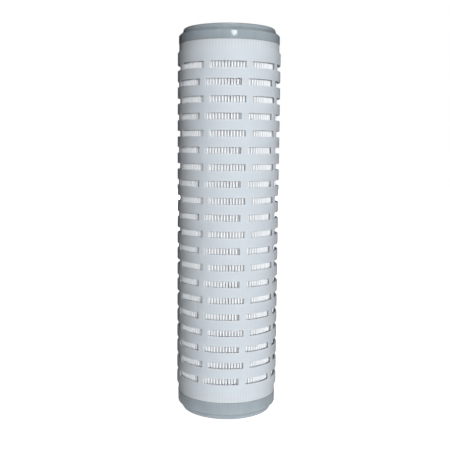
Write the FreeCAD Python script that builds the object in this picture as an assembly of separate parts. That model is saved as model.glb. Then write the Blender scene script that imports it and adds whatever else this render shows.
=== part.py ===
"""Pleated filter cartridge, 10 inch, open at both ends.

A slotted cage and a perforated core hold a pleated pack of three layers. An end cap is
welded on each end, and a flat silicone gasket sits in each cap. All lengths are in
millimetres. The origin is the centre of the lower gasket's face, and +Z points up the
cartridge. The front is -Y, and the pack's side seam is at the back.
"""

import FreeCAD
import Part

import math
import os

# ---- Driving dimensions -------------------------------------------------------------

LENGTH = 254.0  # overall, over both free gaskets

# End caps
CAP_R = 33.0
CAP_BORE_R = 14.0
TOP_WALL_HEIGHT = 5.2  # straight side wall between the cage and the shoulder
BOTTOM_WALL_HEIGHT = 7.3  # the lower cap is welded on less deeply
BOSS_HEIGHT = 4.8  # the raised end, from the shoulder to the face
CHAMFER_WIDTH = 2.6
CHAMFER_HEIGHT = 2.2
BOSS_RUN_IN = 0.5  # the raised end's side leans in by this much
SHOULDER_ROUND = 0.7
RIM_ROUND = 1.5
INNER_LIP_DROP = 0.6  # the lip round the bore stands lower than the rim
SEAT_CLEARANCE = 0.1

# Gaskets
GASKET_R = 27.0
GASKET_BORE_R = 15.6
GASKET_THICKNESS = 4.0
GASKET_PROUD = 0.45  # how far a gasket stands out of its cap
GASKET_EDGE = 0.6

# Cage: bands between the rows of slots, and a thinner collar at each end.
BAND_R = 33.75
COLLAR_R = 32.8
CAGE_BORE_R = 32.1  # in the collars
BAND_BORE_R = 32.5
COLLAR_HEIGHT = 6.0
COLLAR_SLOPE = 1.5  # height of the slope between a collar and the bands
CAGE_LOW_Z = GASKET_PROUD + BOSS_HEIGHT + BOTTOM_WALL_HEIGHT
CAGE_HIGH_Z = LENGTH - GASKET_PROUD - BOSS_HEIGHT - TOP_WALL_HEIGHT
CAGE_LENGTH = CAGE_HIGH_Z - CAGE_LOW_Z

ROWS = 20
ROW_PITCH = 10.6
TOP_ROW_Z = CAGE_HIGH_Z - 15.4
SLOT_HEIGHT = 3.8
ROW_SHIFT_DEG = 2.5  # rows turn this far to one side and the other in turn
MIDDLE_SLOT_DEG = 19.5  # half the angle of the front and back slots
SIDE_SLOT_DEG = (27.3, 59.7)  # the slots beside them, measured from the front
SIDE_SLOT_DEPTH = 0.86 * BAND_R  # along the draw of the mould
PARTING_SLOT_X = 0.9225 * BAND_R  # where the slots on the parting plane begin

# Core
CORE_R = 17.0
CORE_BORE_R = 14.3
CORE_EMBED = 3.0  # the core's ends sit this deep in the caps
WINDOW_SIZE = 5.6
WINDOW_PAIRS = 4  # each pair is one opening on each side of the core
WINDOW_ROWS = 21

# Pleated pack: three layers that touch but for a hair's gap, folded as one
PLEATS = 104
PLEAT_DEG = 360 / PLEATS
LAYER_THICKNESS = 0.12
LAYER_GAP = 0.01
STACK = 3 * LAYER_THICKNESS + 2 * LAYER_GAP
TIP_FOLD_R = 0.62  # fold radii of the middle layer's centreline
ROOT_FOLD_R = 0.28
PACK_CLEARANCE = 0.05  # to the cage and to the core
TIP_CENTRE_R = CAGE_BORE_R - PACK_CLEARANCE - TIP_FOLD_R - STACK / 2
ROOT_CENTRE_R = CORE_R + PACK_CLEARANCE + ROOT_FOLD_R + STACK / 2

# Weld that closes the pack into a ring
SEAM_DEG = 180.0
SEAM_WEB_DEPTH = 5.5
SEAM_BEAD_WIDTH = 1.3
SEAM_BEAD_TOP_WIDTH = 1.0


# ---- Small helpers ------------------------------------------------------------------


def point(x, y, z=0.0):
    return FreeCAD.Vector(x, y, z)


def polar(radius, degrees, z=0.0):
    """A point at an angle from the front (-Y), turning towards +X."""
    turn = math.radians(degrees)
    return point(radius * math.sin(turn), -radius * math.cos(turn), z)


def turned(shape, degrees):
    """A copy turned about the cartridge's axis."""
    copy = shape.copy()
    copy.rotate(point(0, 0, 0), point(0, 0, 1), degrees)
    return copy


def flipped(solid):
    """A copy turned over end for end, about the cartridge's middle."""
    copy = solid.copy()
    copy.rotate(point(0, 0, LENGTH / 2), point(1, 0, 0), 180)
    return copy


def tube(outer_r, inner_r, low_z, high_z):
    base = point(0, 0, low_z)
    outer = Part.makeCylinder(outer_r, high_z - low_z, base)
    return outer.cut(Part.makeCylinder(inner_r, high_z - low_z, base))


def revolve(outline):
    """A solid of revolution about Z from a list of (radius, z) corners."""
    corners = [point(r, 0, z) for r, z in outline]
    face = Part.Face(Part.makePolygon(corners + corners[:1]))
    return face.revolve(point(0, 0, 0), point(0, 0, 1), 360)


def circle_edges(solid, radius, z):
    """The edges of a solid that lie on one circle about the axis."""
    found = []
    for edge in solid.Edges:
        if not isinstance(edge.Curve, Part.Circle):
            continue
        if abs(edge.Curve.Radius - radius) < 1e-6 and abs(edge.Curve.Center.z - z) < 1e-6:
            found.append(edge)
    return found


def along_cage(outline):
    """A flat outline drawn out over the cage's length."""
    solid = Part.Face(outline).extrude(point(0, 0, CAGE_LENGTH))
    solid.translate(point(0, 0, CAGE_LOW_Z))
    return solid


def export(node, shape):
    shape.exportStep(f"parts/{node}.step")
    print(f"{node}: {len(shape.Solids)} solid, {shape.Volume / 1000:.2f} cm3")


# ---- Cage ---------------------------------------------------------------------------


def slot_row(z, shift_deg):
    """Cutters for one ring of eight slots, their end walls parallel to the mould's draw (Y)."""
    low_z = z - SLOT_HEIGHT / 2
    reach = BAND_R + 2
    middle = Part.makeCylinder(
        reach, SLOT_HEIGHT, point(0, 0, low_z), point(0, 0, 1), 2 * MIDDLE_SLOT_DEG
    )
    middle = turned(middle, -90 - MIDDLE_SLOT_DEG)

    side_low_x, side_high_x = (BAND_R * math.sin(math.radians(a)) for a in SIDE_SLOT_DEG)
    side_width = side_high_x - side_low_x
    side_corner = point(side_low_x, -reach, low_z)
    right = Part.makeBox(side_width, SIDE_SLOT_DEPTH, SLOT_HEIGHT, side_corner)
    left = right.mirror(point(0, 0, 0), point(1, 0, 0))

    parting_corner = point(PARTING_SLOT_X, -BAND_R / 2, low_z)
    parting = Part.makeBox(reach - PARTING_SLOT_X, BAND_R, SLOT_HEIGHT, parting_corner)

    front_half = [middle, right, left, parting]
    back_half = [turned(cutter, 180) for cutter in front_half]
    return turned(Part.makeCompound(front_half + back_half), shift_deg)


def outer_cage():
    low_bands_z, high_bands_z = CAGE_LOW_Z + COLLAR_HEIGHT, CAGE_HIGH_Z - COLLAR_HEIGHT
    outline = [
        (CAGE_BORE_R, CAGE_LOW_Z),
        (COLLAR_R, CAGE_LOW_Z),
        (COLLAR_R, low_bands_z - COLLAR_SLOPE),
        (BAND_R, low_bands_z),
        (BAND_R, high_bands_z),
        (COLLAR_R, high_bands_z + COLLAR_SLOPE),
        (COLLAR_R, CAGE_HIGH_Z),
        (CAGE_BORE_R, CAGE_HIGH_Z),
        (CAGE_BORE_R, high_bands_z + COLLAR_SLOPE),
        (BAND_BORE_R, high_bands_z),
        (BAND_BORE_R, low_bands_z),
        (CAGE_BORE_R, low_bands_z - COLLAR_SLOPE),
    ]
    rings = []
    for row in range(ROWS):
        shift = ROW_SHIFT_DEG if row % 2 == 0 else -ROW_SHIFT_DEG
        rings.append(slot_row(TOP_ROW_Z - row * ROW_PITCH, shift))
    return revolve(outline).cut(rings)


# ---- Core ---------------------------------------------------------------------------


def inner_core():
    body = tube(CORE_R, CORE_BORE_R, CAGE_LOW_Z - CORE_EMBED, CAGE_HIGH_Z + CORE_EMBED)
    middle_z = (CAGE_LOW_Z + CAGE_HIGH_Z) / 2
    window_deg = 180 / WINDOW_PAIRS
    reach = CORE_R + 1
    windows = []
    for row in range(WINDOW_ROWS):
        z = middle_z + (row - (WINDOW_ROWS - 1) / 2) * ROW_PITCH
        corner = point(-WINDOW_SIZE / 2, -reach, z - WINDOW_SIZE / 2)
        bar = Part.makeBox(WINDOW_SIZE, 2 * reach, WINDOW_SIZE, corner)
        stagger = window_deg / 2 if row % 2 else 0
        for pair in range(WINDOW_PAIRS):
            windows.append(turned(bar, pair * window_deg + stagger))
    return body.cut(windows)


# ---- Pleated pack -------------------------------------------------------------------


def flank(tip_deg, root_deg, offset):
    """The ends of the straight run between the folds at a tip and at a root.

    The run lies at an offset from the middle layer's centreline, positive towards the
    cage. It is the crossing tangent of the two fold circles, so it is parallel in every
    layer.
    """
    tip, root = polar(TIP_CENTRE_R, tip_deg), polar(ROOT_CENTRE_R, root_deg)
    inward = root - tip
    lean = (TIP_FOLD_R + ROOT_FOLD_R) / inward.Length
    inward.normalize()
    side = 1 if root_deg > tip_deg else -1
    across = point(inward.y, -inward.x) * side
    normal = inward * lean + across * math.sqrt(1 - lean**2)
    return tip + normal * (TIP_FOLD_R + offset), root - normal * (ROOT_FOLD_R - offset)


def pleated_line(offset):
    """One face of a layer: flanks and fold arcs, from the seam once round to the seam."""
    edges = []
    for fold in range(PLEATS):
        tip_deg = SEAM_DEG + fold * PLEAT_DEG
        root_deg = tip_deg + PLEAT_DEG / 2
        next_tip_deg = tip_deg + PLEAT_DEG
        tip_end, root_start = flank(tip_deg, root_deg, offset)
        next_tip_start, root_end = flank(next_tip_deg, root_deg, offset)
        root_middle = polar(ROOT_CENTRE_R - ROOT_FOLD_R + offset, root_deg)
        edges.append(Part.LineSegment(tip_end, root_start))
        edges.append(Part.Arc(root_start, root_middle, root_end))
        edges.append(Part.LineSegment(root_end, next_tip_start))
        if fold < PLEATS - 1:
            next_tip_end, _ = flank(next_tip_deg, next_tip_deg + PLEAT_DEG / 2, offset)
            tip_middle = polar(TIP_CENTRE_R + TIP_FOLD_R + offset, next_tip_deg)
            edges.append(Part.Arc(next_tip_start, tip_middle, next_tip_end))
    return edges


def pleated_layer(place):
    """A layer of the pack: place 1 lies towards the cage, 0 between and -1 towards the core."""
    centre = place * (LAYER_THICKNESS + LAYER_GAP)
    outer = pleated_line(centre + LAYER_THICKNESS / 2)
    inner = pleated_line(centre - LAYER_THICKNESS / 2)
    first_end = Part.LineSegment(inner[0].StartPoint, outer[0].StartPoint)
    last_end = Part.LineSegment(outer[-1].EndPoint, inner[-1].EndPoint)
    edges = outer + [last_end] + inner[::-1] + [first_end]
    return along_cage(Part.Wire([edge.toShape() for edge in edges]))


def side_seam():
    """The weld between the pack's two ends: a web between them and a bead over their edges."""
    offset = -STACK / 2 - LAYER_GAP
    tip_end, root_end = flank(SEAM_DEG, SEAM_DEG - PLEAT_DEG / 2, offset)
    web_foot = tip_end + (root_end - tip_end) * (SEAM_WEB_DEPTH / (root_end - tip_end).Length)
    bead_top = CAGE_BORE_R - 2 * PACK_CLEARANCE
    right = [
        web_foot,
        tip_end,
        point(tip_end.x, TIP_CENTRE_R),
        point(SEAM_BEAD_WIDTH / 2, TIP_CENTRE_R),
        point(SEAM_BEAD_TOP_WIDTH / 2, bead_top),
    ]
    left = [point(-corner.x, corner.y) for corner in reversed(right)]
    return along_cage(Part.makePolygon(right + left + right[:1]))


# ---- End caps and gaskets -----------------------------------------------------------


def end_cap(wall_height):
    """A cap for the upper end. The cage and the pack end on its underside."""
    face_z = LENGTH - GASKET_PROUD
    seat_z = LENGTH - GASKET_THICKNESS
    lip_z = face_z - INNER_LIP_DROP
    shoulder_z = face_z - BOSS_HEIGHT
    base_z = shoulder_z - wall_height
    boss_r = CAP_R - CHAMFER_WIDTH
    rim_r = boss_r - BOSS_RUN_IN
    seat_r = GASKET_R + SEAT_CLEARANCE
    lip_r = GASKET_BORE_R - SEAT_CLEARANCE
    outline = [
        (CAP_BORE_R, base_z + CORE_EMBED),
        (CORE_R, base_z + CORE_EMBED),
        (CORE_R, base_z),
        (CAP_R, base_z),
        (CAP_R, shoulder_z),
        (boss_r, shoulder_z + CHAMFER_HEIGHT),
        (rim_r, face_z),
        (seat_r, face_z),
        (seat_r, seat_z),
        (lip_r, seat_z),
        (lip_r, lip_z),
        (CAP_BORE_R, lip_z),
    ]
    cap = revolve(outline)
    cap = cap.makeFillet(RIM_ROUND, circle_edges(cap, rim_r, face_z))
    return cap.makeFillet(SHOULDER_ROUND, circle_edges(cap, CAP_R, shoulder_z))


def gasket():
    """The upper gasket, bedded on the floor of its seat."""
    ring = tube(GASKET_R, GASKET_BORE_R, LENGTH - GASKET_THICKNESS, LENGTH)
    free_edges = circle_edges(ring, GASKET_R, LENGTH)
    free_edges += circle_edges(ring, GASKET_BORE_R, LENGTH)
    return ring.makeFillet(GASKET_EDGE, free_edges)


# ---- Assembly -----------------------------------------------------------------------


def main():
    os.makedirs("parts", exist_ok=True)
    export("outer_cage", outer_cage())
    export("upstream_support", pleated_layer(1))
    export("filter_membrane", pleated_layer(0))
    export("downstream_support", pleated_layer(-1))
    export("side_seam", side_seam())
    export("inner_core", inner_core())
    export("top_end_cap", end_cap(TOP_WALL_HEIGHT))
    export("bottom_end_cap", flipped(end_cap(BOTTOM_WALL_HEIGHT)))
    export("top_gasket", gasket())
    export("bottom_gasket", flipped(gasket()))


main()
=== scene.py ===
"""Looks of the pleated filter cartridge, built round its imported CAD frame.

Sizes are in millimetres until a mesh is made. Angles are in degrees from the front (-Y),
growing towards +X. Every piece of the CAD model is replaced by a finer mesh in the same
place, with its edges rounded, its pleats less even and its own procedural material.
"""

import math

import bpy
import numpy as np
from mathutils import Matrix, Vector


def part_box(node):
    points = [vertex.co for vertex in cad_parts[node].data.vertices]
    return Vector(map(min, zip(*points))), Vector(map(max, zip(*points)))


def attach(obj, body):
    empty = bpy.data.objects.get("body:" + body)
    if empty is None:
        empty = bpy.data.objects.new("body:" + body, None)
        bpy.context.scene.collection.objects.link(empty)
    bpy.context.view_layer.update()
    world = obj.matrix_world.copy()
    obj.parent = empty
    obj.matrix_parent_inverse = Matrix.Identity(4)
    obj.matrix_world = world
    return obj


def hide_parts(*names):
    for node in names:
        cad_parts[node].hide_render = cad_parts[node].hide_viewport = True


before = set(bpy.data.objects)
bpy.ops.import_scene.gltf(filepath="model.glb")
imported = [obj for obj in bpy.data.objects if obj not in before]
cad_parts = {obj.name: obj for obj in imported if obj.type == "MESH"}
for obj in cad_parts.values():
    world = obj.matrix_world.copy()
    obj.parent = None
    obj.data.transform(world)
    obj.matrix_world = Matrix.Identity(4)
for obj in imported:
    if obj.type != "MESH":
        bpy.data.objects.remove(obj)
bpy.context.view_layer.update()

MM = 0.001
rng = np.random.default_rng(21)


def reach(node):
    """A CAD node's lowest height, highest height and largest radius, in millimetres."""
    low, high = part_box(node)
    return low.z / MM, high.z / MM, high.x / MM


# ---- Sizes that the frame doesn't give by its boxes -----------------------------------

COLLAR_R = 32.8
CAGE_BORE_R = 32.1
BAND_BORE_R = 32.5
TIP_BULGE = 0.35  # how far the pleats stand out towards the bands and into their slots
COLLAR_HEIGHT = 6.0
COLLAR_SLOPE = 1.5
ROWS = 20
ROW_PITCH = 10.6
TOP_ROW_DROP = 15.4  # from the cage's upper end to the middle of its first row of slots
SLOT_HEIGHT = 3.8
ROW_SHIFT_DEG = 2.5
MIDDLE_SLOT_DEG = 19.5
SIDE_SLOT_DEG = (27.3, 59.7)
PARTING_SLOT_DEG = 67.3  # where the slot across the parting plane starts
SLOT_EDGE_ROUND = 0.35
SLOT_MARGIN = 0.9  # of finer mesh above and below a slot
CAGE_STEP_DEG = 2.9  # the mesh's longest step round the cage

CORE_BORE_R = 14.3
WINDOW_SIZE = 5.6
WINDOW_ROWS = 21
WINDOWS_ROUND = 8
WINDOW_EDGE_ROUND = 0.3
WINDOW_MARGIN = 0.6
CORE_STEP_DEG = 4.8

CAP_BORE_R = 14.0
CORE_EMBED = 3.0
BOSS_HEIGHT = 4.8
CHAMFER_WIDTH = 2.6
CHAMFER_HEIGHT = 2.2
BOSS_RUN_IN = 0.5
WELD_EDGE_ROUND = 0.15  # where the side wall meets the cage
SHOULDER_ROUND = 0.7
CHAMFER_END_ROUND = 0.5
RIM_ROUND = 1.5
SEAT_EDGE_ROUND = 0.2
BORE_EDGE_ROUND = 0.45
INNER_LIP_DROP = 0.6
SEAT_CLEARANCE = 0.1

GASKET_BORE_R = 15.6
GASKET_EDGE = 0.6  # rounding of the sealing face's edges
GASKET_BASE_EDGE = 0.1
GASKET_PROUD = 0.45

PLEATS = 104
PLEAT_DEG = 360 / PLEATS
LAYER_THICKNESS = 0.12
LAYER_GAP = 0.01
STACK = 3 * LAYER_THICKNESS + 2 * LAYER_GAP
TIP_FOLD_R = 0.62
ROOT_FOLD_R = 0.28
PACK_CLEARANCE = 0.05
SPACING_SPREAD = 0.06  # how unevenly the pleats are spaced, in degrees
SPACING_MOST = 0.08
DEPTH_SPREAD = 0.15
WANDER = 0.07  # how far a pleat leans to either side along its height, in degrees
WANDER_TURNS = 1.3
WANDER_STEP = 0.35  # how far neighbours are out of step in this, in radians
EVEN_PLEATS_BY_SEAM = 3
BULGE_START = 2  # from the pack's ends
BULGE_FULL = 12
PACK_LINES = 20  # of mesh between the parts where the bulge grows
BULGE_LINES = (0, 2, 5, 8)  # of mesh, from the pack's ends

SEAM_DEG = 180.0
SEAM_WEB_DEPTH = 5.5
SEAM_BEAD_WIDTH = 1.3
SEAM_BEAD_TOP_WIDTH = 1.0
SEAM_BEAD_ROUND = 0.08
SEAM_BEAD_TOP_ROUND = 0.15
SEAM_FOOT_SHARE = 0.55  # the foot's width, as a share of the neck's
SEAM_LINES = 90

CAGE_LOW_Z, CAGE_HIGH_Z, BAND_R = reach("outer_cage")
CORE_LOW_Z, CORE_HIGH_Z, CORE_R = reach("inner_core")
TIP_CENTRE_R = CAGE_BORE_R - PACK_CLEARANCE - TIP_FOLD_R - STACK / 2
ROOT_CENTRE_R = CORE_R + PACK_CLEARANCE + ROOT_FOLD_R + STACK / 2


# ---- Mesh helpers ---------------------------------------------------------------------


def polar(radius, degrees, z):
    """Points from radii, angles and heights, which may be arrays that broadcast."""
    radius, degrees, z = np.broadcast_arrays(radius, degrees, z)
    turn = np.radians(degrees)
    return np.stack([radius * np.sin(turn), -radius * np.cos(turn), z], axis=-1)


def piece_from(name, points, faces, sharp_deg=38):
    """A smooth-shaded object from points in millimetres; corners sharper than sharp_deg stay."""
    mesh = bpy.data.meshes.new(name)
    mesh.from_pydata((np.reshape(points, (-1, 3)) * MM).tolist(), [], faces)
    mesh.set_sharp_from_angle(angle=math.radians(sharp_deg))
    piece = bpy.data.objects.new(name, mesh)
    bpy.context.scene.collection.objects.link(piece)
    return piece


def install(piece, node, material):
    """Rides on the cartridge's one body, in place of a CAD node."""
    piece.data.materials.append(material)
    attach(piece, "root")
    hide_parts(node)
    return piece


def rounded_outline(corners, step_deg=12):
    """A closed outline from (x, y, rounding) corners, with an arc at each rounded one."""
    outline = []
    for i, (x, y, rounding) in enumerate(corners):
        here = np.array([x, y])
        before = np.array(corners[i - 1][:2]) - here
        after = np.array(corners[(i + 1) % len(corners)][:2]) - here
        before /= np.linalg.norm(before)
        after /= np.linalg.norm(after)
        corner_angle = math.acos(np.clip(before @ after, -1, 1))
        if rounding == 0:
            outline.append(here)
            continue
        along = rounding / math.tan(corner_angle / 2)
        bisector = (before + after) / np.linalg.norm(before + after)
        centre = here + bisector * rounding / math.sin(corner_angle / 2)
        start = here + before * along - centre
        swing = math.pi - corner_angle
        if before[0] * after[1] - before[1] * after[0] > 0:
            swing = -swing
        steps = max(2, math.ceil(abs(math.degrees(swing)) / step_deg))
        for k in range(steps + 1):
            turn = swing * k / steps
            c, s = math.cos(turn), math.sin(turn)
            spoke = np.array([c * start[0] - s * start[1], s * start[0] + c * start[1]])
            outline.append(centre + spoke)
    return np.array(outline)


def lathe(name, outline, base_z, direction, segments=256):
    """A ring turned from a closed (radius, height) outline.

    Heights run from base_z, upwards where direction is 1 and downwards where it is -1.
    """
    angles = np.arange(segments) * 360 / segments
    points = polar(outline[None, :, 0], angles[:, None], base_z + direction * outline[None, :, 1])
    count = len(outline)
    faces = []
    for i in range(segments):
        for j in range(count):
            ring = [i * count + j, i * count + (j + 1) % count]
            next_i = (i + 1) % segments
            ring += [next_i * count + (j + 1) % count, next_i * count + j]
            faces.append(ring)
    piece = piece_from(name, points, faces)
    face_outwards(piece)
    return piece


def face_outwards(piece):
    """Turns the faces over if the mesh encloses a negative volume."""
    mesh = piece.data
    mesh.calc_loop_triangles()
    corners = np.array([v.co for v in mesh.vertices])
    triangles = np.array([t.vertices for t in mesh.loop_triangles])
    a, b, c = (corners[triangles[:, k]] for k in range(3))
    if np.einsum("ij,ij->i", a, np.cross(b, c)).sum() < 0:
        mesh.flip_normals()


# ---- Perforated tubes: the cage and the core ------------------------------------------


def perforated_tube(name, outer_r, inner_r, outer_deg, inner_deg, z, is_open, edge_round):
    """A tube of quads with rounded openings.

    The radii and z hold one value a line, from the bottom up. outer_deg and inner_deg hold
    the angle of each upright on each line. is_open says which cells are openings.
    """
    lines, uprights = outer_deg.shape
    outer = polar(outer_r[:, None], outer_deg, z[:, None])
    inner = polar(inner_r[:, None], inner_deg, z[:, None])
    skin = lines * uprights

    def index(i, j, inside):
        return inside * skin + i * uprights + j % uprights

    def solid(i, j):
        return 0 <= i < lines - 1 and not is_open[i, j % uprights]

    faces, rims = [], []
    for i in range(lines - 1):
        for j in range(uprights):
            if not solid(i, j):
                continue
            ring = [(i, j), (i, j + 1), (i + 1, j + 1), (i + 1, j)]
            neighbours = [solid(i - 1, j), solid(i, j + 1), solid(i + 1, j), solid(i, j - 1)]
            faces.append([index(*corner, False) for corner in ring])
            faces.append([index(*corner, True) for corner in reversed(ring)])
            for k, joined in enumerate(neighbours):
                if joined:
                    continue
                start, end = ring[k], ring[(k + 1) % 4]
                wall = [index(*end, False), index(*start, False)]
                wall += [index(*start, True), index(*end, True)]
                faces.append(wall)
                rims.append(frozenset(wall[:2]))
                rims.append(frozenset(wall[2:]))
    piece = piece_from(name, np.concatenate([outer, inner]), faces)
    round_edges(piece, set(rims), edge_round)
    return piece


def round_edges(piece, rims, radius):
    """Rounds the named edges with a bevel and keeps the broad faces' shading clean."""
    mesh = piece.data
    weights = np.array([frozenset(edge.vertices) in rims for edge in mesh.edges], np.float32)
    weight = mesh.attributes.new("bevel_weight_edge", "FLOAT", "EDGE")
    weight.data.foreach_set("value", weights)
    bevel = piece.modifiers.new("round", "BEVEL")
    bevel.width = radius * MM
    bevel.segments = 2
    bevel.limit_method = "WEIGHT"
    bevel.use_clamp_overlap = True
    normals = piece.modifiers.new("shading", "WEIGHTED_NORMAL")
    normals.keep_sharp = True


def divided(stops, longest):
    """Even steps between the stops, none over the longest, and the stop that each follows."""
    values, origin = [], []
    for k, (low, high) in enumerate(zip(stops[:-1], stops[1:])):
        count = max(1, math.ceil((high - low) / longest - 1e-6))
        for step in range(count):
            values.append(low + (high - low) * step / count)
            origin.append(k)
    return np.array(values), np.array(origin)


def parallel_wall_deg(outer_deg, outer_r, inner_r):
    """Where a wall that runs along the mould's draw meets the bore."""
    return math.degrees(math.asin(math.sin(math.radians(outer_deg)) * outer_r / inner_r))


def slotted_cage():
    # The middle slot's end walls are radial, and the others are parallel to the mould's draw.
    quarter_outer = [MIDDLE_SLOT_DEG, *SIDE_SLOT_DEG, PARTING_SLOT_DEG]
    quarter_inner = [MIDDLE_SLOT_DEG]
    quarter_inner += [parallel_wall_deg(a, BAND_R, BAND_BORE_R) for a in quarter_outer[1:]]

    def whole_ring(quarter):
        half = [-a for a in reversed(quarter)] + list(quarter)
        return half + [a + 180 for a in half]

    outer_stops, inner_stops = whole_ring(quarter_outer), whole_ring(quarter_inner)
    outer_stops.append(outer_stops[0] + 360)
    inner_stops.append(inner_stops[0] + 360)
    uprights, origin = divided(outer_stops, CAGE_STEP_DEG)
    inner_uprights = np.interp(uprights, outer_stops, inner_stops)
    # From the first stop on, lands and slots come in turn.
    in_slot = origin % 2 == 1

    # Heights, with the radius and the turn of the pattern at each.
    lines = []
    half = SLOT_HEIGHT / 2
    slope_low, slope_high = CAGE_LOW_Z + COLLAR_HEIGHT, CAGE_HIGH_Z - COLLAR_HEIGHT
    top_row_z = CAGE_HIGH_Z - TOP_ROW_DROP
    edge_lines = (-half - SLOT_MARGIN, -half, half, half + SLOT_MARGIN)
    for row in reversed(range(ROWS)):
        z = top_row_z - row * ROW_PITCH
        shift = ROW_SHIFT_DEG if row % 2 == 0 else -ROW_SHIFT_DEG
        if row == ROWS - 1:
            lines.append((CAGE_LOW_Z, COLLAR_R, shift))
            lines.append((slope_low - COLLAR_SLOPE, COLLAR_R, shift))
            lines.append((slope_low, BAND_R, shift))
        else:
            lines.append((z - ROW_PITCH / 2, BAND_R, 0))
        lines += [(z + d, BAND_R, shift) for d in edge_lines]
    lines.append((slope_high, BAND_R, shift))
    lines.append((slope_high + COLLAR_SLOPE, COLLAR_R, shift))
    lines.append((CAGE_HIGH_Z, COLLAR_R, shift))
    z, radius, shift = np.array(lines).T
    bore = np.interp(radius, [COLLAR_R, BAND_R], [CAGE_BORE_R, BAND_BORE_R])

    middle_z = (z[:-1] + z[1:]) / 2
    row_phase = (top_row_z - middle_z) / ROW_PITCH
    nearest = np.clip(np.round(row_phase), 0, ROWS - 1)
    in_row = np.abs(row_phase - nearest) * ROW_PITCH < half
    return perforated_tube(
        "slotted_cage", radius, bore, uprights[None, :] + shift[:, None],
        inner_uprights[None, :] + shift[:, None], z, in_row[:, None] & in_slot[None, :],
        SLOT_EDGE_ROUND,
    )


def core_tube():
    half = WINDOW_SIZE / 2
    outer_half = math.degrees(math.asin(half / CORE_R))
    inner_half = math.degrees(math.asin(half / CORE_BORE_R))
    window_deg = 360 / WINDOWS_ROUND
    stops = []
    for k in range(2 * WINDOWS_ROUND):
        centre = k * window_deg / 2
        stops += [centre - outer_half, centre + outer_half]
    stops.append(stops[0] + 360)
    uprights, origin = divided(stops, CORE_STEP_DEG)
    # Even and odd rows of windows take alternate columns.
    even_window = origin % 4 == 0
    odd_window = origin % 4 == 2

    def inner_angles(parity):
        """The windows' walls are parallel, so they meet the bore at wider angles."""
        centre = np.round((uprights - parity * window_deg / 2) / window_deg) * window_deg
        centre += parity * window_deg / 2
        offset = uprights - centre
        inside = np.abs(offset) <= outer_half + 1e-6
        outside = np.interp(
            np.abs(offset), [outer_half, window_deg / 2], [inner_half, window_deg / 2],
        )
        stretched = np.where(
            inside, offset * inner_half / outer_half, np.sign(offset) * outside,
        )
        return centre + stretched

    # Heights, each with its row's parity; the ends take the mean of both.
    lines = [(CORE_LOW_Z, 0.5)]
    edge_lines = (-half - WINDOW_MARGIN, -half, half, half + WINDOW_MARGIN)
    middle_z = (CAGE_LOW_Z + CAGE_HIGH_Z) / 2
    for row in range(WINDOW_ROWS):
        z = middle_z + (row - (WINDOW_ROWS - 1) / 2) * ROW_PITCH
        parity = row % 2
        lines += [(z + d, parity) for d in edge_lines]
    lines.append((CORE_HIGH_Z, 0.5))
    z, parity = np.array(lines).T
    even_inner, odd_inner = inner_angles(0), inner_angles(1)
    share = parity[:, None]
    inner = even_inner * (1 - share) + odd_inner * share
    outer = np.broadcast_to(uprights, inner.shape)
    cell_z = (z[:-1] + z[1:]) / 2
    phase = (cell_z - middle_z) / ROW_PITCH + (WINDOW_ROWS - 1) / 2
    nearest = np.clip(np.round(phase), 0, WINDOW_ROWS - 1)
    in_row = np.abs(phase - nearest) * ROW_PITCH < half
    odd_row = nearest % 2 == 1
    is_open = (in_row & ~odd_row)[:, None] & even_window[None, :]
    is_open |= (in_row & odd_row)[:, None] & odd_window[None, :]
    return perforated_tube(
        "core_tube", np.full(len(z), CORE_R), np.full(len(z), CORE_BORE_R), outer, inner, z,
        is_open, WINDOW_EDGE_ROUND,
    )


# ---- Pleated pack ---------------------------------------------------------------------


def pleat_run(heights):
    """Angles and radii of the tips at each height, a little uneven as folded sheets are."""
    tips = np.arange(PLEATS + 1)
    spacing = rng.normal(0, SPACING_SPREAD, PLEATS + 1)
    depth = rng.uniform(0, DEPTH_SPREAD, PLEATS + 1)
    phase = rng.uniform(0, 2 * math.pi, PLEATS + 1)
    # Neighbours wander together, as they lean on each other.
    drift = np.cumsum(rng.normal(0, WANDER_STEP, PLEATS + 1))
    share = (heights[:, None] - heights[0]) / (heights[-1] - heights[0])
    wave = WANDER * np.sin(2 * math.pi * WANDER_TURNS * share + drift)
    fade = np.clip(np.minimum(tips, PLEATS - tips) / EVEN_PLEATS_BY_SEAM, 0, 1)
    spacing = np.clip(spacing, -SPACING_MOST, SPACING_MOST)
    angle = SEAM_DEG + tips * PLEAT_DEG + fade * (spacing + wave)
    from_end = np.minimum(heights - heights[0], heights[-1] - heights)
    bulge = TIP_BULGE * np.interp(from_end, [BULGE_START, BULGE_FULL], [0, 1])[:, None]
    # A pleat's depth changes a little with height: the share of it that sways, and how often.
    sway, sway_rate = 0.15, 4
    swaying = 0.85 + sway * np.sin(sway_rate * share + phase)
    radius = TIP_CENTRE_R + fade * (bulge - depth * swaying)
    return angle, radius


def facing_deg(vector, near_deg):
    """The angle of plan vectors, on the turn nearest to near_deg."""
    angle = np.degrees(np.arctan2(vector[..., 0], -vector[..., 1]))
    return angle + 360 * np.round((near_deg - angle) / 360)


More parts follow.
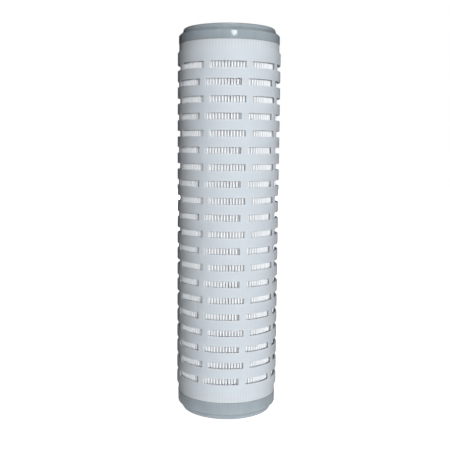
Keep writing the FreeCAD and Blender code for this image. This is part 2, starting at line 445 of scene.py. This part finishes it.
def pleated_face(tip_deg, tip_r, heights, offset, tip_steps, root_steps):
    """One face of a layer as a (heights, points, 3) grid, from the seam round to the seam."""
    z = heights[:, None]
    root_deg = SEAM_DEG + (np.arange(PLEATS) + 0.5) * PLEAT_DEG
    root = polar(ROOT_CENTRE_R, root_deg[None, :], z)
    tip = polar(tip_r, tip_deg, z)
    folds = TIP_FOLD_R + ROOT_FOLD_R

    def normal_deg(tip_points, tip_angles, side):
        inward = root - tip_points
        along = facing_deg(inward, tip_angles + 180)
        lean = np.degrees(np.arcsin(folds / np.linalg.norm(inward[..., :2], axis=-1)))
        return along - side * (90 - lean)

    leaving = normal_deg(tip[:, :-1], tip_deg[:, :-1], 1)
    arriving = normal_deg(tip[:, 1:], tip_deg[:, 1:], -1)

    def arc(centre, radius, start_deg, end_deg, steps):
        share = np.linspace(0, 1, steps)
        angles = start_deg[..., None] * (1 - share) + end_deg[..., None] * share
        return centre[..., None, :] + polar(radius, angles, 0.0)

    at_root = arc(root, ROOT_FOLD_R - offset, leaving + 180, arriving + 180, root_steps)
    at_tip = arc(tip[:, 1:-1], TIP_FOLD_R + offset, arriving[:, :-1], leaving[:, 1:], tip_steps)
    last = tip[:, -1:, None] + polar(TIP_FOLD_R + offset, arriving[:, -1:, None], 0.0)
    first = tip[:, 0] + polar(TIP_FOLD_R + offset, leaving[:, 0], 0.0)
    pleats = np.concatenate([at_root[:, :-1], at_tip], axis=2)
    count = len(heights)
    return np.concatenate(
        [first[:, None], pleats.reshape(count, -1, 3), at_root[:, -1], last[:, 0]], axis=1
    )


def pleated_sheet(name, place, run, heights, tip_steps, root_steps):
    """A closed folded sheet; place 1 lies towards the cage, 0 between and -1 towards the core."""
    middle = place * (LAYER_THICKNESS + LAYER_GAP)
    offsets = [middle + side * LAYER_THICKNESS / 2 for side in (1, -1)]
    skins = [pleated_face(*run, heights, offset, tip_steps, root_steps) for offset in offsets]
    lines, count = skins[0].shape[:2]
    points = np.concatenate([skin.reshape(-1, 3) for skin in skins])
    grid = np.arange(2 * lines * count).reshape(2, lines, count)

    def quads(a, b, c, d):
        return np.stack([a, b, c, d], axis=-1).reshape(-1, 4)

    outer, inner = grid
    faces = [
        quads(outer[:-1, :-1], outer[:-1, 1:], outer[1:, 1:], outer[1:, :-1]),
        quads(inner[:-1, :-1], inner[1:, :-1], inner[1:, 1:], inner[:-1, 1:]),
        quads(outer[0, :-1], inner[0, :-1], inner[0, 1:], outer[0, 1:]),
        quads(outer[-1, :-1], outer[-1, 1:], inner[-1, 1:], inner[-1, :-1]),
        quads(outer[:-1, 0], outer[1:, 0], inner[1:, 0], inner[:-1, 0]),
        quads(outer[:-1, -1], inner[:-1, -1], inner[1:, -1], outer[1:, -1]),
    ]
    piece = piece_from(name, points, np.concatenate(faces).tolist(), sharp_deg=60)
    # Flat coordinates of the sheet, in millimetres, for its fibres.
    step = np.linalg.norm(np.diff(skins[0][0, :, :2], axis=0), axis=-1)
    along = np.concatenate([[0], np.cumsum(step)])
    flat = np.stack(np.broadcast_arrays(along[None, :], heights[:, None]), axis=-1).reshape(-1, 2)
    flat = np.concatenate([flat, flat])
    corners = np.zeros(len(piece.data.loops), int)
    piece.data.loops.foreach_get("vertex_index", corners)
    layer = piece.data.uv_layers.new(name="sheet")
    layer.data.foreach_set("uv", flat[corners].astype(np.float32).ravel())
    return piece


def seam_weld():
    """The fused strip that closes the pack, with a slightly wavy bead."""
    neck = TIP_FOLD_R - STACK / 2 - LAYER_GAP
    foot = neck * SEAM_FOOT_SHARE
    bead_top = CAGE_BORE_R - 2 * PACK_CLEARANCE
    half = [
        (foot, TIP_CENTRE_R - SEAM_WEB_DEPTH, 0),
        (neck, TIP_CENTRE_R, 0),
        (SEAM_BEAD_WIDTH / 2, TIP_CENTRE_R, SEAM_BEAD_ROUND),
        (SEAM_BEAD_TOP_WIDTH / 2, bead_top, SEAM_BEAD_TOP_ROUND),
    ]
    outline = rounded_outline(half + [(-x, y, r) for x, y, r in reversed(half)], step_deg=30)
    heights = np.linspace(CAGE_LOW_Z, CAGE_HIGH_Z, SEAM_LINES)
    # The bead is up to 11 percent wider or narrower, in two waves that don't repeat together.
    swell = 1 + 0.06 * np.sin(heights * 0.9) + 0.05 * np.sin(heights * 2.3 + 1)
    points = np.zeros((len(heights), len(outline), 3))
    on_bead = outline[:, 1] > TIP_CENTRE_R - 0.01
    points[..., 0] = np.where(on_bead, outline[:, 0] * swell[:, None], outline[:, 0])
    points[..., 1] = outline[:, 1]
    points[..., 2] = heights[:, None]
    count = len(outline)
    faces = []
    for i in range(len(heights) - 1):
        for j in range(count):
            k = (j + 1) % count
            faces.append([i * count + j, i * count + k, (i + 1) * count + k, (i + 1) * count + j])
    last = (len(heights) - 1) * count
    faces.append(list(range(count)))
    faces.append([last + j for j in reversed(range(count))])
    piece = piece_from("seam_weld", points, faces)
    face_outwards(piece)
    return piece


# ---- End caps and gaskets -------------------------------------------------------------


def cap_ring(name, node, direction):
    """An end cap; direction is 1 for the upper one and -1 for the lower one."""
    low_z, high_z, radius = reach(node)
    base_z = low_z if direction > 0 else high_z
    height = high_z - low_z
    gasket_low, gasket_high, gasket_r = reach("top_gasket")
    seat_depth = gasket_high - gasket_low - GASKET_PROUD
    wall = height - BOSS_HEIGHT
    boss_r = radius - CHAMFER_WIDTH
    lip_r = GASKET_BORE_R - SEAT_CLEARANCE
    seat_r = gasket_r + SEAT_CLEARANCE
    lip = height - INNER_LIP_DROP
    corners = [
        (CAP_BORE_R, CORE_EMBED, 0),
        (CORE_R, CORE_EMBED, 0),
        (CORE_R, 0, 0),
        (radius, 0, WELD_EDGE_ROUND),
        (radius, wall, SHOULDER_ROUND),
        (boss_r, wall + CHAMFER_HEIGHT, CHAMFER_END_ROUND),
        (boss_r - BOSS_RUN_IN, height, RIM_ROUND),
        (seat_r, height, SEAT_EDGE_ROUND),
        (seat_r, height - seat_depth, 0),
        (lip_r, height - seat_depth, 0),
        (lip_r, lip, SEAT_EDGE_ROUND),
        (CAP_BORE_R, lip, BORE_EDGE_ROUND),
    ]
    return lathe(name, rounded_outline(corners), base_z, direction)


def gasket_ring(name, node, direction):
    low_z, high_z, radius = reach(node)
    base_z = low_z if direction > 0 else high_z
    thickness = high_z - low_z
    corners = [
        (GASKET_BORE_R, 0, GASKET_BASE_EDGE),
        (radius, 0, GASKET_BASE_EDGE),
        (radius, thickness, GASKET_EDGE),
        (GASKET_BORE_R, thickness, GASKET_EDGE),
    ]
    return lathe(name, rounded_outline(corners), base_z, direction)


# ---- Materials ------------------------------------------------------------------------
#
# Colours are linear. Places and bump depths are in millimetres, and subsurface scales in metres.

POLYPROPYLENE_IOR = 1.49
SILICONE_IOR = 1.41
EVEN_SCATTER = (1, 1, 1)
FLEECE_FIBRES = (0.84, 0.865, 0.885)
FLEECE_GAPS = (0.77, 0.805, 0.835)
FLEECE_BONDS = 0.8  # depth of the pressed points, as a share of the fibres' bump
BOND_PITCH = 1.3
CREST_START = 1.3  # in from the cage's bore, where the folds start to be greyer as the painted light deep in the folds fades out
CREST_END = 0.7


class Finish:
    """A Principled material with short ways to add nodes to it."""

    def __init__(self, name, base, roughness, **sockets):
        self.material = bpy.data.materials.new(name)
        self.material.use_nodes = True
        self.nodes = self.material.node_tree.nodes
        self.links = self.material.node_tree.links
        self.shader = self.nodes["Principled BSDF"]
        self.shader.inputs["Base Color"].default_value = (*base, 1)
        self.shader.inputs["Roughness"].default_value = roughness
        for socket, value in sockets.items():
            self.shader.inputs[socket.replace("_", " ")].default_value = value

    def feed(self, socket, value):
        """Links a node's output to a socket, or sets the socket to a plain value."""
        if isinstance(value, bpy.types.NodeSocket):
            self.links.new(value, socket)
        else:
            socket.default_value = value

    def math(self, operation, a, b=0.0):
        node = self.nodes.new("ShaderNodeMath")
        node.operation = operation
        self.feed(node.inputs[0], a)
        self.feed(node.inputs[1], b)
        return node.outputs[0]

    def place(self):
        """The frame's X, Y and Z at the shaded point, in millimetres."""
        coordinates = self.nodes.new("ShaderNodeTexCoord").outputs["Object"]
        scaled = self.nodes.new("ShaderNodeVectorMath")
        scaled.operation = "SCALE"
        self.links.new(coordinates, scaled.inputs[0])
        scaled.inputs["Scale"].default_value = 1 / MM
        return scaled.outputs[0]

    def from_axis(self):
        """The distance from the cartridge's axis, in millimetres."""
        xyz = self.split(self.place())
        squares = [self.math("MULTIPLY", xyz[k], xyz[k]) for k in (0, 1)]
        return self.math("SQRT", self.math("ADD", *squares))

    def split(self, vector):
        node = self.nodes.new("ShaderNodeSeparateXYZ")
        self.links.new(vector, node.inputs[0])
        return node.outputs

    def join(self, x, y, z):
        node = self.nodes.new("ShaderNodeCombineXYZ")
        for socket, value in zip(node.inputs, (x, y, z)):
            self.feed(socket, value)
        return node.outputs[0]

    def noise(self, vector, scale, detail=3.0, stretch=(1, 1, 1)):
        """Noise from 0 to 1 about 0.5, with features about 1 / scale millimetres across."""
        mapping = self.nodes.new("ShaderNodeMapping")
        mapping.inputs["Scale"].default_value = stretch
        self.links.new(vector, mapping.inputs["Vector"])
        node = self.nodes.new("ShaderNodeTexNoise")
        node.inputs["Scale"].default_value = scale
        node.inputs["Detail"].default_value = detail
        self.links.new(mapping.outputs[0], node.inputs["Vector"])
        return node.outputs[0]

    def weighted(self, first, first_share, second, second_share):
        """The sum of two values, each times its share."""
        first = self.math("MULTIPLY", first, first_share)
        return self.math("ADD", first, self.math("MULTIPLY", second, second_share))

    def ramp(self, value, low, high, to_low=0.0, to_high=1.0):
        """Maps low..high to to_low..to_high, held at both ends."""
        node = self.nodes.new("ShaderNodeMapRange")
        for socket, number in zip(node.inputs[1:5], (low, high, to_low, to_high)):
            socket.default_value = number
        self.feed(node.inputs[0], value)
        return node.outputs[0]

    def mix(self, share, first, second):
        node = self.nodes.new("ShaderNodeMix")
        node.data_type = "RGBA"
        self.feed(node.inputs[0], share)
        for socket, colour in ((node.inputs[6], first), (node.inputs[7], second)):
            self.feed(socket, (*colour, 1) if isinstance(colour, tuple) else colour)
        return node.outputs[2]

    def bump(self, height, depth_mm):
        node = self.nodes.new("ShaderNodeBump")
        node.inputs["Strength"].default_value = 1.0
        node.inputs["Distance"].default_value = depth_mm * MM
        self.feed(node.inputs["Height"], height)
        self.links.new(node.outputs[0], self.shader.inputs["Normal"])

    def colour(self, value):
        self.links.new(value, self.shader.inputs["Base Color"])

    def roughness(self, value):
        self.links.new(value, self.shader.inputs["Roughness"])


def around(finish, xyz):
    """The angle from the front, in degrees."""
    turn = finish.math("ARCTAN2", xyz[0], finish.math("MULTIPLY", xyz[1], -1.0))
    return finish.math("MULTIPLY", turn, 180 / math.pi)


def cage_plastic():
    finish = Finish(
        "cage_polypropylene", (0.70, 0.745, 0.80), 0.5, IOR=POLYPROPYLENE_IOR,
        Subsurface_Weight=1.0, Subsurface_Scale=0.0015, Subsurface_Radius=EVEN_SCATTER,
    )
    place = finish.place()
    xyz = finish.split(place)
    angle = around(finish, xyz)
    # The pleats behind are painted onto the wall as lighter lines with darker tone between, a
    # painted show-through of light and shade, most where the wall is thinnest, at the collars.
    across, upwards = finish.math("MULTIPLY", angle, 0.12), finish.math("MULTIPLY", xyz[2], 0.01)
    uneven = finish.noise(finish.join(across, upwards, 0.0), 3.0, 2.0)
    pleats = finish.math("SINE", finish.math("MULTIPLY", angle, math.pi / 180 * PLEATS))
    pleats = finish.ramp(pleats, -1, 1)
    middle_z = (CAGE_LOW_Z + CAGE_HIGH_Z) / 2
    from_middle = finish.math("ABSOLUTE", finish.math("SUBTRACT", xyz[2], middle_z))
    collar_start = (CAGE_HIGH_Z - CAGE_LOW_Z) / 2 - COLLAR_HEIGHT
    thin = finish.ramp(
        from_middle, collar_start, collar_start + COLLAR_SLOPE, to_low=0.14, to_high=0.6,
    )
    lines = finish.math("MULTIPLY", finish.math("MULTIPLY", pleats, uneven), thin)
    cloud = finish.ramp(finish.noise(place, 0.05, 3.0), 0.3, 0.7, to_high=0.35)
    tone = finish.mix(cloud, (0.655, 0.705, 0.75), (0.62, 0.67, 0.72))
    # The lighter colour is the painted light of the pleats showing through the wall.
    finish.colour(finish.mix(lines, tone, (0.80, 0.845, 0.88)))
    flow = finish.noise(place, 1.0, 4.0, (0.5, 0.5, 0.06))
    finish.roughness(finish.ramp(flow, 0.35, 0.65, to_low=0.44, to_high=0.54))
    # A fine raised line where the mould's halves met.
    parting = finish.ramp(finish.math("ABSOLUTE", xyz[1]), 0.0, 0.12, to_low=1.0, to_high=0.0)
    grain = finish.noise(place, 9.0, 2.0)
    height = finish.weighted(grain, 0.10, flow, 0.25)
    finish.bump(finish.math("ADD", height, finish.math("MULTIPLY", parting, 0.6)), 0.05)
    return finish.material


def cap_plastic():
    finish = Finish(
        "cap_polypropylene", (0.32, 0.38, 0.42), 0.2, IOR=POLYPROPYLENE_IOR,
        Subsurface_Weight=0.7, Subsurface_Scale=0.005, Subsurface_Radius=EVEN_SCATTER,
    )
    place = finish.place()
    cloud = finish.noise(place, 0.12, 4.0)
    streak = finish.noise(place, 0.6, 3.0, (1, 1, 0.12))
    blend = finish.ramp(finish.weighted(cloud, 0.7, streak, 0.3), 0.35, 0.65)
    finish.colour(finish.mix(blend, (0.33, 0.382, 0.42), (0.372, 0.425, 0.463)))
    finish.roughness(finish.ramp(streak, 0.3, 0.7, to_low=0.07, to_high=0.13))
    grain = finish.noise(place, 5.0, 2.0)
    finish.bump(finish.weighted(grain, 0.08, cloud, 0.5), 0.06)
    return finish.material


def fleece(name, base, shade, bond_depth):
    """A sheet of fine crossing fibres, pressed together at small points (none at depth 0)."""
    finish = Finish(name, base, 0.75, Sheen_Weight=0.1, Sheen_Roughness=0.5)
    sheet = finish.nodes.new("ShaderNodeUVMap")
    sheet.uv_map = "sheet"
    flat = sheet.outputs[0]
    fibres = finish.noise(flat, 5.0, 5.0, (1.0, 0.35, 1))
    crossing = finish.noise(flat, 6.0, 5.0, (0.3, 1.0, 1))
    web = finish.math("MAXIMUM", fibres, crossing)
    # The bonds lie where two slanting waves both peak or both dip.
    uv = finish.split(flat)
    slant = 2 * math.pi / BOND_PITCH / math.sqrt(2)
    waves = [
        finish.math("SINE", finish.math("MULTIPLY", finish.math(sign, uv[0], uv[1]), slant))
        for sign in ("ADD", "SUBTRACT")
    ]
    pressed = finish.ramp(finish.math("MULTIPLY", *waves), 0.55, 0.8)
    # The folds are painted whiter deeper in, as painted light that brightens the shaded gaps
    # between the pleats, so the outermost part of each fold is greyer than the flanks.
    crest_beyond_painted_light = finish.ramp(finish.from_axis(), CAGE_BORE_R - CREST_START, CAGE_BORE_R - CREST_END)
    weave = finish.mix(finish.ramp(web, 0.45, 0.7), shade, base)
    # The near-white colour is painted light deep in the folds, and the fibres' own colour holds at
    # the crests.
    finish.colour(finish.mix(crest_beyond_painted_light, (0.98, 0.985, 0.99), weave))
    finish.bump(finish.weighted(web, 0.5, pressed, -bond_depth), 0.04)
    return finish.material


def weld_plastic():
    finish = Finish(
        "fused_seam", (0.78, 0.81, 0.84), 0.3, Subsurface_Weight=0.2, Subsurface_Scale=0.001,
    )
    place = finish.place()
    ripple = finish.noise(place, 1.2, 3.0, (1, 1, 2))
    finish.colour(finish.mix(ripple, (0.72, 0.76, 0.79), (0.84, 0.87, 0.89)))
    finish.bump(ripple, 0.1)
    return finish.material


def core_plastic():
    finish = Finish(
        "core_polypropylene", (0.80, 0.83, 0.86), 0.4, Subsurface_Weight=0.2,
        Subsurface_Scale=0.0015,
    )
    place = finish.place()
    cloud = finish.ramp(finish.noise(place, 0.08, 3.0), 0.3, 0.7)
    finish.colour(finish.mix(cloud, (0.76, 0.79, 0.83), (0.84, 0.87, 0.89)))
    patches = finish.noise(place, 0.8, 3.0)
    finish.roughness(finish.ramp(patches, 0.3, 0.7, to_low=0.34, to_high=0.48))
    finish.bump(finish.noise(place, 6.0, 3.0), 0.02)
    return finish.material


def silicone():
    finish = Finish(
        "silicone", (0.80, 0.80, 0.78), 0.42, IOR=SILICONE_IOR, Subsurface_Weight=0.35,
        Subsurface_Scale=0.003,
    )
    place = finish.place()
    cloud = finish.noise(place, 0.15, 3.0)
    dust = finish.ramp(finish.noise(place, 2.5, 6.0), 0.66, 0.74)
    tone = finish.mix(cloud, (0.74, 0.74, 0.72), (0.84, 0.84, 0.82))
    finish.colour(finish.mix(finish.math("MULTIPLY", dust, 0.4), tone, (0.92, 0.92, 0.91)))
    finish.roughness(finish.ramp(dust, 0, 1, to_low=0.38, to_high=0.6))
    finish.bump(finish.noise(place, 4.0, 4.0), 0.03)
    return finish.material


# ---- The cartridge --------------------------------------------------------------------


def build_pack():
    near_end = np.array(BULGE_LINES)
    between = np.linspace(CAGE_LOW_Z + BULGE_FULL, CAGE_HIGH_Z - BULGE_FULL, PACK_LINES)
    heights = np.concatenate([CAGE_LOW_Z + near_end, between, CAGE_HIGH_Z - near_end[::-1]])
    run = pleat_run(heights)
    outer_fleece = fleece("spunbond_fleece", FLEECE_FIBRES, FLEECE_GAPS, FLEECE_BONDS)
    inner_fleece = fleece("inner_spunbond_fleece", FLEECE_FIBRES, FLEECE_GAPS, FLEECE_BONDS)
    membrane = fleece("microporous_membrane", (0.93, 0.93, 0.93), (0.90, 0.90, 0.90), 0.0)
    outer = pleated_sheet("pleated_outer_fleece", 1, run, heights, tip_steps=7, root_steps=5)
    install(outer, "upstream_support", outer_fleece)
    middle = pleated_sheet("pleated_membrane", 0, run, heights, tip_steps=5, root_steps=4)
    install(middle, "filter_membrane", membrane)
    inner = pleated_sheet("pleated_inner_fleece", -1, run, heights, tip_steps=5, root_steps=5)
    install(inner, "downstream_support", inner_fleece)
    install(seam_weld(), "side_seam", weld_plastic())


def build_cartridge():
    install(slotted_cage(), "outer_cage", cage_plastic())
    install(core_tube(), "inner_core", core_plastic())
    build_pack()

    caps, rubber = cap_plastic(), silicone()
    install(cap_ring("upper_cap", "top_end_cap", 1), "top_end_cap", caps)
    install(cap_ring("lower_cap", "bottom_end_cap", -1), "bottom_end_cap", caps)
    install(gasket_ring("upper_gasket", "top_gasket", 1), "top_gasket", rubber)
    install(gasket_ring("lower_gasket", "bottom_gasket", -1), "bottom_gasket", rubber)


# ---- Stage, light and camera ----------------------------------------------------------

CAMERA_DISTANCE = 493.8
CAMERA_HEIGHT = 178.4
CAMERA_TURN_DEG = 3.5
CAMERA_YAW_DEG = 0.21
CAMERA_PITCH_DEG = 6.18
CAMERA_ROLL_DEG = 0.51
CAMERA_LENS = 58.96
CAMERA_SENSOR = 36
FLOOR_WIDTH = 18000
SKY_SEEN = 1.0
SKY_CAST = 0.02
MIDDLE_Z = 127  # half of the cartridge's height, where most lights aim
SOFTBOX_SIZE = (1500, 600)


def build_camera():
    data = bpy.data.cameras.new("camera")
    data.lens = CAMERA_LENS
    data.sensor_width = CAMERA_SENSOR
    camera = bpy.data.objects.new("camera", data)
    bpy.context.scene.collection.objects.link(camera)
    aim = Matrix.Rotation(math.radians(CAMERA_TURN_DEG + CAMERA_YAW_DEG), 4, "Z")
    aim @= Matrix.Rotation(math.radians(90 - CAMERA_PITCH_DEG), 4, "X")
    aim @= Matrix.Rotation(math.radians(CAMERA_ROLL_DEG), 4, "Z")
    spot = polar(CAMERA_DISTANCE, CAMERA_TURN_DEG, CAMERA_HEIGHT) * MM
    camera.matrix_world = Matrix.Translation(Vector(spot)) @ aim
    bpy.context.scene.camera = camera


def build_floor():
    """A floor that is white to the camera and dim to other rays, but for a glow at the foot."""
    half = FLOOR_WIDTH / 2
    corners = [(-half, -half, 0), (half, -half, 0), (half, half, 0), (-half, half, 0)]
    floor = piece_from("floor", corners, [(0, 1, 2, 3)])
    paper = Finish("pale_floor", (0.5, 0.5, 0.5), 0.9, Specular_IOR_Level=0.0)
    paper.shader.inputs["Emission Color"].default_value = (1, 1, 1, 1)
    from_axis = paper.from_axis()
    seen_glow = paper.ramp(from_axis, 100, 600, to_low=0.93, to_high=1.0)
    cast_glow = paper.ramp(from_axis, 40, 85, to_low=0.42, to_high=0.05)
    seen = paper.nodes.new("ShaderNodeLightPath").outputs["Is Camera Ray"]
    paper.links.new(paper.mix(seen, cast_glow, seen_glow), paper.shader.inputs["Emission Strength"])
    paper.colour(paper.mix(seen, (0.08, 0.08, 0.08), (0.5, 0.5, 0.5)))
    floor.data.materials.append(paper.material)


def build_sky():
    """A sky that is white to the camera and nearly dark to other rays."""
    world = bpy.data.worlds.new("studio")
    bpy.context.scene.world = world
    world.use_nodes = True
    nodes, links = world.node_tree.nodes, world.node_tree.links
    background = nodes["Background"]
    background.inputs["Color"].default_value = (1, 1, 1, 1)
    seen = nodes.new("ShaderNodeLightPath").outputs["Is Camera Ray"]
    strength = nodes.new("ShaderNodeMix")
    links.new(seen, strength.inputs[0])
    strength.inputs[2].default_value = SKY_CAST
    strength.inputs[3].default_value = SKY_SEEN
    links.new(strength.outputs[0], background.inputs["Strength"])


def area_light(name, distance, degrees, z, size, power, target_z=MIDDLE_Z):
    """A soft light turned towards the axis at target_z."""
    data = bpy.data.lights.new(name, "AREA")
    data.shape = "RECTANGLE"
    data.size, data.size_y = (side * MM for side in size)
    data.energy = power
    lamp = bpy.data.objects.new(name, data)
    bpy.context.scene.collection.objects.link(lamp)
    spot = Vector(polar(distance, degrees, z) * MM)
    target = Vector((0, 0, target_z * MM))
    lamp.location = spot
    lamp.rotation_euler = (spot - target).to_track_quat("Z", "Y").to_euler()
    return lamp


def build_lights():
    softbox = area_light("softbox", 2500, degrees=18, z=320, size=SOFTBOX_SIZE, power=60)
    area_light("window", 3000, degrees=14, z=840, size=(620, 320), power=9.5)
    area_light("overhead", 700, degrees=14, z=1700, size=(600, 900), power=4, target_z=200)
    # It reaches the back, and hardly changes the main view.
    back = area_light("back_softbox", 2500, degrees=186, z=420, size=SOFTBOX_SIZE, power=58)
    # Only the two small lights show in reflections.
    softbox.visible_glossy = False
    back.visible_glossy = False


bpy.context.scene.view_settings.view_transform = "Standard"
build_camera()
build_floor()
build_sky()
build_lights()
build_cartridge()
